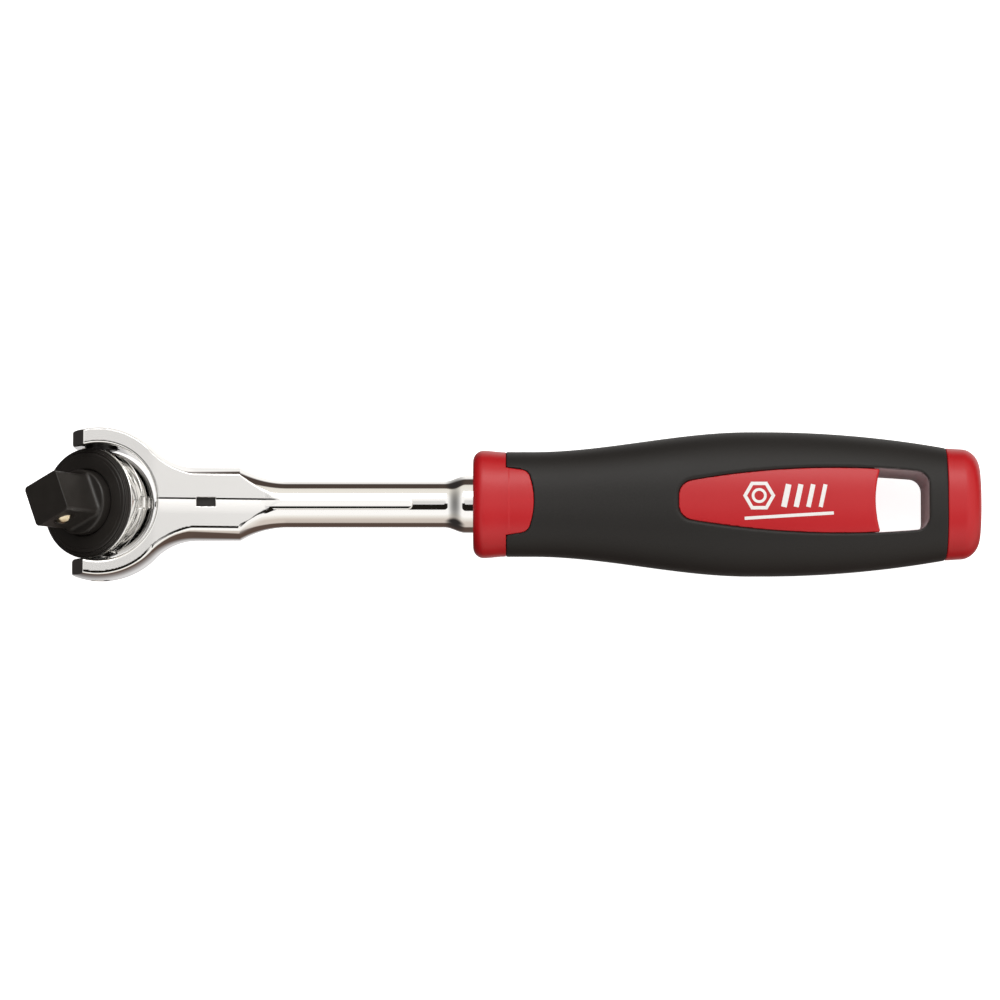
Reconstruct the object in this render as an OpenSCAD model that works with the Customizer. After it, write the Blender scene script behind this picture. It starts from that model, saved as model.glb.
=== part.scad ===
// Ratchet wrench with a swivelling round head, 3/8 inch square drive, two-material handle.
// The tool lies along X with its drive end at -X. Z is up, and Z = 0 is the surface it rests on.
// Lengths marked "from the pivot" are measured along X from the swivel axis of the head.

/* [Head] */
// Swing of the drive axis from straight up towards -X, in degrees, a whole number of detent steps
head_tilt = 33.75; // [0:11.25:67.5]
// Angle between two detent positions of the head, in degrees
detent_step = 11.25; // [7.5:0.75:15]
// Outer radius of the housing's rim
housing_r = 12.3; // [12:0.1:12.4]
// Radius of the ball-shaped back of the housing
back_r = 11.9; // [11.7:0.05:12]
// Radius of the face of the cover plate
cover_r = 11.2; // [11:0.05:11.3]
// Distance of the cover's face from the swivel axis
cover_face = 5.9; // [5.6:0.1:6.2]

/* [Drive] */
// Side of the square drive tang
drive_square = 9.525; // [9.4:0.005:9.6]
// Length of the tang from its shoulder to its tip
tang_len = 11; // [10:0.1:12]
// Turn of the square about the drive axis, in degrees
tang_turn = 23; // [0:1:44]
// Radius of the round boss behind the tang
boss_r = 7.2; // [7:0.05:7.3]
// Distance of the boss's shoulder from the swivel axis
shoulder = 8.3; // [8:0.1:8.6]
// Number of teeth on the ratchet gear
gear_teeth = 72; // [60:1:90]
// Diameter of the drive ball
drive_ball_d = 3.96; // [3.6:0.02:4]

/* [Yoke and shank] */
// Outer radius of the yoke
yoke_r = 17; // [16.6:0.1:17.5]
// Radius of the throat that the head turns in
throat_r = 12.87; // [12.8:0.01:13]
// Half of the gap between the arms at their tips
tip_gap = 12.45; // [12.4:0.01:12.6]
// Length of the arms past the swivel axis
arm_reach = 6.2; // [5.5:0.1:7]
// Half thickness of the yoke
yoke_h = 8.8; // [8.4:0.1:9.2]
// Half width of the neck
neck_w = 8.05; // [7.8:0.05:8.4]
// End of the straight neck, from the pivot
neck_end = 31.1; // [30:0.1:32]
// Radius of the round shank
shank_r = 5.15; // [5:0.05:5.4]
// Radius of the shank where it enters the handle
shank_foot_r = 6.35; // [6:0.05:6.5]
// Half width of the flat land along the neck and shank
land_w = 1.1; // [0.9:0.05:1.3]
// Place of that land across the tool
land_y = -0.4; // [-0.6:0.1:0.6]
// End of that land, from the pivot
land_end = 69.3; // [66:0.1:72]
// Diameter of the two swivel pins
pin_d = 4; // [3.6:0.1:4.2]

/* [Handle] */
// Front of the collar, from the pivot
collar_front = 82.7; // [82:0.1:83.5]
// Seam between the collar and the grip, from the pivot
collar_back = 90; // [89.5:0.1:90.5]
// Half width of the collar
collar_w = 12; // [11.8:0.1:12.4]
// Half thickness of the collar
collar_t = 10.9; // [10.7:0.1:11.4]
// Half width of the grip's slim front
front_w = 11.6; // [11.2:0.1:11.8]
// Half thickness of the grip's slim front
front_t = 10.5; // [10:0.1:10.7]
// Half width of the grip's belly
belly_w = 16; // [15.5:0.1:16.5]
// Half thickness of the grip's belly
belly_t = 13; // [12.6:0.1:13.4]
// Thickest place of the grip, from the pivot
belly_x = 147; // [144:1:150]
// Seam between the grip and the end cap, from the pivot
cap_front = 187.4; // [187:0.1:188.5]
// End of the handle, from the pivot
handle_end = 195.2; // [195:0.1:197]
// Start of the window in the grip, from the pivot
window_start = 128; // [126:0.1:131]
// End of the window in the grip, from the pivot
window_end = 183; // [183:0.1:184.4]
// Largest half height of the window
window_h = 7.2; // [6.8:0.1:7.4]
// Start of the hanging hole, from the pivot
hole_x = 171.3; // [171:0.1:174]
// Depth of the red panel below the grip
panel_recess = 0.6; // [0.3:0.1:1]

/* [Hidden] */
$fn = 96;
eps = 0.01;
run = 0.05;                       // radial clearance of a running fit

// place of the swivel axis along X: the object's box is centred on X = 0
half_sq = drive_square / 2;
corner_r = 6.35;                  // radius that the tang's corners are broken to
tip_chamfer = 0.5;
tang_tip = shoulder + tang_len;
corner_lean = acos(half_sq / corner_r) - tang_turn;
reach_left = corner_r * cos(corner_lean) * cos(head_tilt) + (tang_tip - tip_chamfer) * sin(head_tilt);
pivot_x = (reach_left - handle_end) / 2;

// handle outline, x from the pivot
handle_sides = 40;
handle_power = 2.5;               // 2 is an ellipse, more is squarer
blend_start = 96;
blend_end = 144;
tail_curve_w = 231;               // radius of the grip's outline behind the belly, from above
tail_curve_t = 340;               // and from the side
window_curve = 185;
window_mid = 163;
hole_curve = 23;                  // the panel ends in a hollow curve at the hanging hole
tongue_root_h = 7.5;              // the core's red tongue narrows from the collar to its end
tongue_h = 6.6;
tongue_end = 96.15;
tongue_curve = 17;
tongue_corner = 1;
function smooth(u) = let (v = max(0, min(1, u))) v * v * (3 - 2 * v);
function half_size(x, front, belly, curve) = x < belly_x
    ? front + (belly - front) * smooth((x - blend_start) / (blend_end - blend_start))
    : belly - pow(x - belly_x, 2) / 2 / curve;
function grip_w(x) = half_size(x, front_w, belly_w, tail_curve_w);
function grip_t(x) = half_size(x, front_t, belly_t, tail_curve_t);

// the handle lies on the edge of its window, so that edge's height is the height of the swivel axis
function window_edge(x) = window_h - pow(x - window_mid, 2) / 2 / window_curve;
function edge_height(x) = let (part = window_edge(x) / grip_w(x))
    grip_t(x) * pow(1 - pow(part, handle_power), 1 / handle_power);
pivot_z = max([for (x = [window_start:1:window_end]) edge_height(x)]);

// yoke
flat_r = 15.75;                   // edge of the flat front of the yoke
bevel_r = 16.7;
blend_r = 13;                     // fillet between the yoke and the neck
blend_x = sqrt(pow(yoke_r + blend_r, 2) - pow(neck_w + blend_r, 2));
blend_touch = (neck_w + blend_r) * yoke_r / (yoke_r + blend_r);
taper_r = 20;                     // fillet between the neck and the shank
taper_x = neck_end + sqrt(pow(taper_r, 2) - pow(taper_r - neck_w + shank_r, 2));
land_z = shank_r + 0.1;
land_x = 37;                      // where the neck's slope ends in the land
tang_in = 126;                    // end of the shank inside the handle
tang_in_r = 4.6;
pin_r = pin_d / 2;
pin_in = 8.9;                     // inner end of a swivel pin
pin_out = 16.8;
spot_r = 4.2;                     // spot faces round the swivel pins
washer_r = 3.6;
head_flat = 11.92;
arm_face = 13;                    // spot face in each arm, from the tool's middle plane
washer_t = 1;
bore_r = 1.35;                    // bore of the detent plunger
nose_x = 12.05;                   // tip of the plunger, drawn clear of the head
body_len = 5;
notch_r = 1;
notch_depth = 0.4;
slot_start = 21.7;                // small window across the neck, filled by the detent key
slot_len = 4.1;
slot_w = 1;
key_h = 5.8;

// head, along the drive axis
rim_z = 4.6;                      // top of the housing's rim
gear_z = [-1.65, 3];
gear_r = 8.2;
tooth_h = 0.42;
cavity_r = gear_r + 0.2;
ledge_z = -2.1;
floor_z = -4.5;
back_z = -8.2;
selector_r = 6.6;
thread_r = 11.7;
flange_r = 11.6;
lever_shaft_r = 2.95;
plunger_z = -3.3;                 // place of the pawl's plunger along the drive axis
lever_turn = 44;                  // travel of the reverse lever
pawl_x = 9.6;                     // place of the pawl's pin
pawl_pin_r = 0.8;
pawl_pin_z = floor_z - 0.8;
pawl_turn = 30;                   // half of the angle that the pawl spans
pawl_rock = 8;                    // travel of the pawl
pawl_step = -1.6;                 // the pawl's tail starts here
pawl_tail_r = 8.85;
pawl_clear = 0.06;                // the pawl rides this far above the gear's tips
pocket_r = 10.9;
pocket_low_r = 10.2;
pocket_turn = 38;
ball_seat = 15.2;                 // place of the drive ball along the drive axis
ball_r = drive_ball_d / 2;
ball_depth = 1.1;                 // depth of the ball's centre under the tang's face
ball_lip = 0.18;                  // crimped lip that holds the ball in
lever_ball_x = 4.2;
lever_ball_r = 0.75;

module at_pivot() { translate([pivot_x, 0, pivot_z]) children(); }
module at_head() { at_pivot() rotate([0, -head_tilt, 0]) children(); }
module at_tang() { at_head() rotate([0, 0, tang_turn]) children(); }
module along_x(x = 0) { translate([x, 0, 0]) rotate([0, 90, 0]) children(); }
module along_y(y = 0) { translate([0, y, 0]) rotate([-90, 0, 0]) children(); }
module box(x, y, z) { translate([x[0], -y, -z]) cube([x[1] - x[0], 2 * y, 2 * z]); }
module both_sides() { children(); mirror([0, 1, 0]) children(); }
module tube(r_out, r_in, len) {
    difference() {
        cylinder(r = r_out, h = len);
        translate([0, 0, -eps]) cylinder(r = r_in, h = len + 2 * eps);
    }
}

// a skin over rings that have the same number of points, with flat ends
module skin(rings) {
    n = len(rings[0]);
    m = len(rings);
    sides = [for (j = [0:m - 2], i = [0:n - 1])
        [j * n + i, (j + 1) * n + i, (j + 1) * n + (i + 1) % n, j * n + (i + 1) % n]];
    first = [for (i = [0:n - 1]) i];
    last = [for (i = [n - 1:-1:0]) (m - 1) * n + i];
    polyhedron(points = [for (r = rings) each r], faces = concat([first], sides, [last]), convexity = 6);
}

// coil spring along Z, from z = 0 to len, with a round wire
coil_steps = 12;
wire_sides = 6;
module coil(r, wire_r, turns, len) {
    rise = len - 2 * wire_r;
    skin([for (k = [0:turns * coil_steps])
        let (turn = 360 * k / coil_steps, z = rise * k / turns / coil_steps)
        [for (i = [0:wire_sides - 1]) let (a = -360 * i / wire_sides, d = r + wire_r * cos(a))
            [d * cos(turn), d * sin(turn), wire_r + z + wire_r * sin(a)]]]);
}

// one ring of the handle, and the body that such rings enclose
function super(a) = [sign(cos(a)) * pow(abs(cos(a)), 2 / handle_power),
    sign(sin(a)) * pow(abs(sin(a)), 2 / handle_power)];
function oval(x, w, t) = [for (i = [0:handle_sides - 1]) let (p = super(360 * i / handle_sides))
    [x, w * p[0], t * p[1]]];
function grip_ring(x, inset) = oval(x, grip_w(x) - inset, grip_t(x) - inset);

module grip_body(inset = 0) {
    front = [for (u = [0:0.1:1]) collar_back + (belly_x - collar_back) * u];
    tail = [for (u = [0.15:0.17:1]) belly_x + (cap_front - belly_x) * u];
    skin([for (x = concat(front, tail)) grip_ring(x, inset)]);
}

// plan of the window: a lens cut off at both ends
module window_plan(grow = 0) {
    arc_y = window_curve - window_h;
    intersection() {
        translate([window_mid, arc_y]) circle(r = window_curve + grow, $fn = 360);
        translate([window_mid, -arc_y]) circle(r = window_curve + grow, $fn = 360);
        translate([window_start - grow, -10]) square([window_end - window_start + 2 * grow, 20]);
    }
}
module hole_plan(grow = 0) {
    intersection() {
        window_plan(grow);
        translate([hole_x + hole_curve, 0]) circle(r = hole_curve + grow);
    }
}
module tongue_plan() {
    offset(r = tongue_corner, $fn = 48) offset(delta = -tongue_corner) intersection() {
        polygon([[collar_back - 1, -tongue_root_h], [tongue_end, -tongue_h],
            [tongue_end, tongue_h], [collar_back - 1, tongue_root_h]]);
        translate([tongue_end - tongue_curve, 0]) circle(r = tongue_curve, $fn = 180);
    }
}
module through(reach = 20) { translate([0, 0, -reach]) linear_extrude(2 * reach) children(); }

// the part of the core that lies under the rubber
bar_w = 8.6;
bar_t = 7.2;
bar_end = hole_x - 4;
rail_w = 10.6;                    // two rails run on beside the hanging hole
rail_t = 5;
module core_bar() {
    difference() {
        union() {
            box([collar_back - 1, bar_end], bar_w, bar_t);
            box([bar_end - 4, cap_front], rail_w, rail_t);
        }
        through() hole_plan(1);
    }
}

module yoke_shank() {
    color("gainsboro") at_pivot() difference() {
        union() {
            intersection() {
                rotate_extrude() polygon([[0, -yoke_h], [flat_r, -yoke_h], [bevel_r, -6], [yoke_r, -3],
                    [yoke_r, 3], [bevel_r, 6], [flat_r, yoke_h], [0, yoke_h]]);
                box([-arm_reach, yoke_r], yoke_r, yoke_h);
            }
            neck();
            shank();
        }
        translate([0, 0, -yoke_h - 1]) cylinder(r = throat_r, h = 2 * yoke_h + 2);
        box([-yoke_r, 0], tip_gap, yoke_h + 1);
        both_sides() along_y(tip_gap - 1) cylinder(r = spot_r, h = arm_face - tip_gap + 1);
        both_sides() along_y(tip_gap - 1) cylinder(r = pin_r, h = 10);
        along_x(throat_r - 1) cylinder(r = bore_r, h = slot_start - throat_r + 1);
        box([slot_start, slot_start + slot_len], slot_w, yoke_h);
    }
}
module neck() {
    intersection() {
        through() union() {
            difference() {
                translate([0, -blend_touch]) square([blend_x, 2 * blend_touch]);
                for (s = [-1, 1]) translate([blend_x, s * (neck_w + blend_r)]) circle(r = blend_r);
            }
            translate([blend_x - eps, -neck_w]) square([neck_end - blend_x + eps, 2 * neck_w]);
            difference() {
                translate([neck_end - eps, -neck_w]) square([taper_x - neck_end, 2 * neck_w]);
                for (s = [-1, 1]) translate([taper_x, s * (shank_r + taper_r)])
                    circle(r = taper_r, $fn = 180);
            }
        }
        rotate([90, 0, 0]) through() polygon([[0, -yoke_h], [10, -yoke_h], [land_x, -land_z], [50, -land_z],
            [50, land_z], [land_x, land_z], [10, yoke_h], [0, yoke_h]]);
        along_x() rotate_extrude() polygon([[0, 0], [20, 0], [13, 20], [9.6, neck_end], [6.7, 36.5],
            [shank_r - 0.1, taper_x], [0, taper_x]]);
    }
}
module shank() {
    foot = collar_front - 2.7;
    along_x() rotate_extrude() polygon([[0, 30], [shank_r, 30], [shank_r, foot - 3.3],
        [shank_r + 0.35, foot - 1.8], [shank_foot_r - 0.2, foot - 0.5], [shank_foot_r, foot + 0.3],
        [shank_foot_r, collar_back], [tang_in_r, collar_back], [tang_in_r, tang_in], [0, tang_in]]);
    through(land_z) translate([0, land_y]) {
        translate([land_x - 5, -land_w]) square([land_end - land_w - land_x + 5, 2 * land_w]);
        translate([land_end - land_w, 0]) circle(r = land_w);
    }
}
module pivot_pins() {
    color("silver") at_pivot() both_sides() along_y(pin_in) {
        cylinder(r = pin_r - run, h = arm_face - pin_in);
        translate([0, 0, arm_face - pin_in - eps]) cylinder(r = pin_r, h = pin_out - arm_face + eps);
    }
}
module swivel_washers() {
    color("darkgray") at_pivot() both_sides() along_y(arm_face - washer_t) tube(washer_r, pin_r, washer_t);
}
module detent_plunger() {
    color("dimgray") at_pivot() along_x(nose_x) rotate_extrude() polygon([[0, 0], [0.45, 0], [0.7, 0.2],
        [bore_r - run, 1.5], [bore_r - run, body_len], [0.7, body_len], [0.7, body_len + 1],
        [0, body_len + 1]]);
}
module detent_spring() {
    spring_x = nose_x + body_len + run;
    color("silver") at_pivot() along_x(spring_x) coil(1, 0.2, 5, slot_start - spring_x - run);
}
module detent_key() {
    color("dimgray") at_pivot() box([slot_start, slot_start + slot_len], slot_w, key_h);
}

// rounded front of the collar, as [length, inset] rows
collar_rows = [[0, 2.2], [0.3, 1.3], [0.9, 0.6], [1.5, 0.2], [2.3, 0], [collar_back - collar_front, 0]];
module handle_core() {
    color("firebrick") at_pivot() difference() {
        union() {
            skin([for (row = collar_rows)
                oval(collar_front + row[0], collar_w - row[1], collar_t - row[1])]);
            core_bar();
            intersection() {
                grip_body(0.05);
                through() tongue_plan();
            }
            intersection() {
                grip_body(panel_recess);
                through() difference() {
                    window_plan();
                    hole_plan();
                }
            }
            tenon();
        }
        along_x(collar_front - 1) cylinder(r = shank_foot_r, h = collar_back - collar_front + 1);
        along_x(collar_front) cylinder(r = tang_in_r, h = tang_in - collar_front);
    }
}
module grip_overmold() {
    color("#2b2826") at_pivot() difference() {
        grip_body();
        core_bar();
        through() window_plan();
        through() tongue_plan();
    }
}
// the cap narrows a little, then closes in a quarter of an ellipse
cap_round = 3.8;
cap_inset = 9;                    // how far the flat end lies inside the grip's outline
cap_step = 0.05;                  // step from the grip to the cap
cap_slope = 0.45;                 // how much the cap narrows before it closes
function cap_close(x) = let (u = max(0, (x - handle_end) / cap_round + 1)) 1 - sqrt(max(0, 1 - u * u));
function cap_ring(x) = let (part = (x - cap_front) / (handle_end - cap_front),
    inset = cap_step + cap_slope * part + cap_inset * cap_close(x))
    oval(x, grip_w(cap_front) - inset, grip_t(cap_front) - inset * 0.85);
tenon_len = 3;                    // the core's peg that carries the cap
tenon_w = 7;
tenon_t = 4;
module end_cap() {
    closing = [for (a = [0:15:90]) handle_end - cap_round * (1 - sin(a))];
    color("firebrick") at_pivot() difference() {
        skin([for (x = concat([cap_front], closing)) cap_ring(x)]);
        tenon();
    }
}
module tenon() { box([cap_front - 1, cap_front + tenon_len], tenon_w, tenon_t); }

// ---- head ----
module head_housing() {
    color("gainsboro") at_head() difference() {
        union() {
            intersection() {
                sphere(r = back_r, $fn = 128);
                translate([0, 0, back_z]) cylinder(r = 20, h = 0.6 - back_z);
            }
            rotate_extrude() polygon([[0, 0.4], [back_r, 0.4], [back_r, 0.8], [11.81, 1.4], [11.66, 2.4],
                [housing_r, 2.7], [housing_r, rim_z - 0.1], [housing_r - 0.1, rim_z], [0, rim_z]]);
        }
        translate([0, 0, gear_z[1]]) cylinder(r = thread_r, h = 5);
        translate([0, 0, ledge_z]) cylinder(r = cavity_r, h = 8);
        translate([0, 0, floor_z]) cylinder(r = selector_r + 0.2, h = 4);
        translate([0, 0, back_z - 1]) cylinder(r = lever_shaft_r + run, h = 8);
        pawl_pocket(ledge_z, pocket_r, 8);
        pawl_pocket(floor_z, pocket_low_r, 3);
        translate([pawl_x, 0, pawl_pin_z]) cylinder(r = pawl_pin_r, h = ledge_z - pawl_pin_z + eps);
        translate([-lever_ball_x, 0, back_z - 1]) cylinder(r = lever_ball_r + run, h = 3.6);
        both_sides() along_y(head_flat) cylinder(r = spot_r, h = 2);
        both_sides() along_y(pin_in - 0.1) cylinder(r = pin_r, h = 6);
        for (k = [0:4]) for (angle = [k * detent_step, 180 - k * detent_step]) rotate([0, angle, 0])
            translate([back_r + notch_r - notch_depth, 0, 0]) along_y(-1.2) cylinder(r = notch_r, h = 2.4);
    }
}
module pawl_pocket(z, r, len) {
    translate([0, 0, z]) linear_extrude(len) intersection() {
        difference() {
            circle(r = r);
            circle(r = selector_r);
        }
        polygon([[0, 0], [14, -14 * tan(pocket_turn)], [14, 14 * tan(pocket_turn)]]);
    }
}
module cover_plate() {
    color("#2b2826") at_head() difference() {
        rotate_extrude() polygon([[0, gear_z[1] + 0.1], [flange_r, gear_z[1] + 0.1], [flange_r, 3.6],
            [cover_r, 3.6], [cover_r, cover_face - 0.3], [cover_r - 0.3, cover_face], [0, cover_face]]);
        cylinder(r = boss_r + 0.08, h = 10);
        translate([0, 0, 4.1]) cylinder(r = boss_r + 0.7, h = 0.9);
    }
}
module retaining_ring() {
    color("#1f1d1c") at_head() rotate_extrude() polygon([[cover_r + run, 3.65], [thread_r, 3.65],
        [thread_r, rim_z], [12.15, rim_z], [12.15, 5.2], [11.95, 5.55], [cover_r + run, 5.55]]);
}
module boss_seal() {
    color("black") at_head() translate([0, 0, 4.55]) rotate_extrude()
        translate([boss_r + 0.4, 0]) circle(r = 0.3, $fn = 24);
}
module thrust_washer() {
    color("silver") at_head() translate([0, 0, ledge_z]) tube(cavity_r - 0.1, 5, 0.4);
}
module pawl_pin() {
    color("silver") at_head() translate([pawl_x, 0, pawl_pin_z]) cylinder(r = pawl_pin_r, h = 8.2);
}
module lever_ball() {
    color("silver") at_head() translate([-lever_ball_x, 0, back_z + 0.35]) sphere(r = lever_ball_r);
}
module lever_spring() {
    color("silver") at_head() translate([-lever_ball_x, 0, back_z + 1.1]) coil(0.55, 0.12, 4, 1.45);
}
module gear_plan() {
    pitch = 360 / gear_teeth;
    tooth = [[0, gear_r], [0.12, gear_r], [0.5, gear_r - tooth_h]];
    polygon([for (k = [0:gear_teeth - 1], p = tooth) let (a = (k + p[0]) * pitch) p[1] * [cos(a), sin(a)]]);
}
module drive_anvil() {
    boss_h = shoulder - gear_z[1];
    color("#2f2c2a") at_tang() difference() {
        union() {
            translate([0, 0, gear_z[0]]) linear_extrude(gear_z[1] - gear_z[0]) gear_plan();
            translate([0, 0, gear_z[1]]) rotate_extrude() polygon([[0, -eps], [boss_r, -eps],
                [boss_r, boss_h - 0.3], [boss_r - 0.3, boss_h], [0, boss_h]]);
            intersection() {
                translate([-half_sq, -half_sq, 0]) cube([drive_square, drive_square, tang_tip]);
                cylinder(r = corner_r, h = tang_tip);
            }
        }
        for (turn = [0:90:270]) rotate([0, 0, turn]) translate([half_sq - tip_chamfer, -10, tang_tip])
            rotate([0, 45, 0]) cube([4, 20, 4]);
        translate([0, 0, ball_seat]) along_y(ball_lip - half_sq) cylinder(r = ball_r + 0.04, h = 7.2);
        translate([0, 0, ball_seat]) along_y(-half_sq - 1) cylinder(r = ball_r - ball_lip, h = 3);
    }
}
module drive_ball() {
    color("gold") at_tang() translate([0, ball_depth - half_sq, ball_seat]) sphere(r = ball_r);
}
module drive_ball_spring() {
    color("silver") at_tang() translate([0, 0, ball_seat]) along_y(ball_lip + 4 - half_sq)
        coil(1.3, 0.22, 4, 3.1);
}
module reverse_lever() {
    color("#2f2c2a") at_head() difference() {
        union() {
            translate([0, 0, floor_z + 0.1]) cylinder(r = selector_r, h = ledge_z - floor_z - 0.15);
            translate([0, 0, back_z - 0.2]) cylinder(r = lever_shaft_r, h = floor_z - back_z + 0.4);
            translate([0, 0, back_z - 2.2]) cylinder(r = 5.4, h = 2.1);
            rotate([0, 0, 180 - lever_turn / 2]) translate([0, -1.8, back_z - 1.5]) cube([6.6, 3.6, 1.4]);
        }
        translate([0, 0, -6.6]) rotate_extrude() translate([lever_shaft_r, 0]) circle(r = 0.45, $fn = 24);
        rotate([0, 0, -lever_turn / 2]) translate([0, 0, plunger_z]) along_x(3) cylinder(r = 0.85, h = 8);
        translate([0, 0, back_z - 0.7]) tube(lever_ball_x + 0.9, lever_ball_x - 0.9, 0.7);
    }
}
module lever_oring() {
    color("black") at_head() translate([0, 0, -6.6]) rotate_extrude()
        translate([2.74, 0]) circle(r = 0.22, $fn = 24);
}
module in_selector() { at_head() rotate([0, 0, -lever_turn / 2]) translate([0, 0, plunger_z]) children(); }
module pawl_plunger() { color("silver") in_selector() along_x(5.6) cylinder(r = 0.8, h = 3.1); }
module pawl_spring() { color("silver") in_selector() along_x(3.1) coil(0.55, 0.12, 5, 2.4); }
// The pawl's faces clear the gear and the pocket at every angle of its travel.
module pawl_pose(k) {
    translate([pawl_x, 0]) rotate(pawl_rock * k / 4) translate([-pawl_x, 0]) children();
}
module pawl_plan(r_in, r_out) {
    difference() {
        intersection_for(k = [0:4]) pawl_pose(k) circle(r = r_out);
        for (k = [0:4]) pawl_pose(k) circle(r = r_in);
        translate([pawl_x, 0]) circle(r = pawl_pin_r + run);
    }
}
module pawl() {
    color("darkgray") at_head() intersection() {
        union() {
            translate([0, 0, floor_z + 0.15]) linear_extrude(pawl_step - floor_z)
                pawl_plan(pawl_tail_r, pocket_low_r - 0.1);
            translate([0, 0, pawl_step]) linear_extrude(gear_z[1] - pawl_step)
                pawl_plan(gear_r + pawl_clear, pocket_r - 0.1);
        }
        translate([0, 0, -10]) linear_extrude(20)
            polygon([[0, 0], [14, -14 * tan(pawl_turn)], [14, 14 * tan(pawl_turn)]]);
    }
}

yoke_shank();
pivot_pins();
swivel_washers();
detent_plunger();
detent_spring();
detent_key();
handle_core();
grip_overmold();
end_cap();
head_housing();
cover_plate();
retaining_ring();
boss_seal();
thrust_washer();
pawl_pin();
lever_ball();
lever_spring();
drive_anvil();
drive_ball();
drive_ball_spring();
reverse_lever();
lever_oring();
pawl_plunger();
pawl_spring();
pawl();
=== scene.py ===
import math

import bpy
import numpy as np
from mathutils import Matrix, Vector


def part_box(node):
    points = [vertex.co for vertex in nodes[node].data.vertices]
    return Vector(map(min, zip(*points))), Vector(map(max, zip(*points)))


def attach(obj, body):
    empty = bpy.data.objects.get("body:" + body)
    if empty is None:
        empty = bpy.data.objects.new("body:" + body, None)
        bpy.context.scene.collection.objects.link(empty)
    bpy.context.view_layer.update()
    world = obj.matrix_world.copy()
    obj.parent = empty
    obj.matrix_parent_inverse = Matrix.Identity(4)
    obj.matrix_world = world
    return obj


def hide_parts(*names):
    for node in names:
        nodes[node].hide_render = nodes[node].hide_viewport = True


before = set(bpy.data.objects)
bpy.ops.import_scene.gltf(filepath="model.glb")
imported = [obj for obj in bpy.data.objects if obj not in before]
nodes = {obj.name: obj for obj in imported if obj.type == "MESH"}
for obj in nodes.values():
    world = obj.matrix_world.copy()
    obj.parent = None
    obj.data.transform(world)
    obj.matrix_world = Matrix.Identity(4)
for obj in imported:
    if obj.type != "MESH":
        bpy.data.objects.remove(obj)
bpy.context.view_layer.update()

# ---------------------------------------------------------------- places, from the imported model
# Shapes below are worked out in millimetres from the swivel axis of the head.
pin_lo, pin_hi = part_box("pivot_pins")
PIVOT = (pin_lo + pin_hi) / 2
TILT = math.radians(33.75)
TANG_TURN = math.radians(23)
TO_FRAME = Matrix.Translation(PIVOT) @ Matrix.Scale(0.001, 4)
TO_HEAD = TO_FRAME @ Matrix.Rotation(-TILT, 4, "Y")
TO_TANG = TO_HEAD @ Matrix.Rotation(TANG_TURN, 4, "Z")


# ---------------------------------------------------------------- meshes of implicit surfaces
def cut(a, b, r):
    """Both a and b, with their shared edge rounded to radius r."""
    return np.minimum(np.maximum(a, b), -r) + np.hypot(np.maximum(a + r, 0), np.maximum(b + r, 0))


def join(a, b, r):
    """Either a or b, with a fillet of radius r between them."""
    return np.maximum(np.minimum(a, b), r) - np.hypot(np.maximum(r - a, 0), np.maximum(r - b, 0))


def less(a, b, r):
    """a without b, with the edge rounded to radius r."""
    return cut(a, -b, r)


def smooth(u):
    u = np.clip(u, 0, 1)
    return u * u * (3 - 2 * u)


def steps(*parts):
    """Grid planes: (start, end, spacing) for each stretch of one axis."""
    out = []
    for start, end, gap in parts:
        count = max(1, int(round((end - start) / gap)))
        out.extend(np.linspace(start, end, count, endpoint=False))
    out.append(parts[-1][1])
    return np.array(out)


def both_ways(*parts):
    """The same for an axis that is symmetric about 0."""
    half = steps(*parts)
    return np.concatenate([-half[:0:-1], half])


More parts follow.
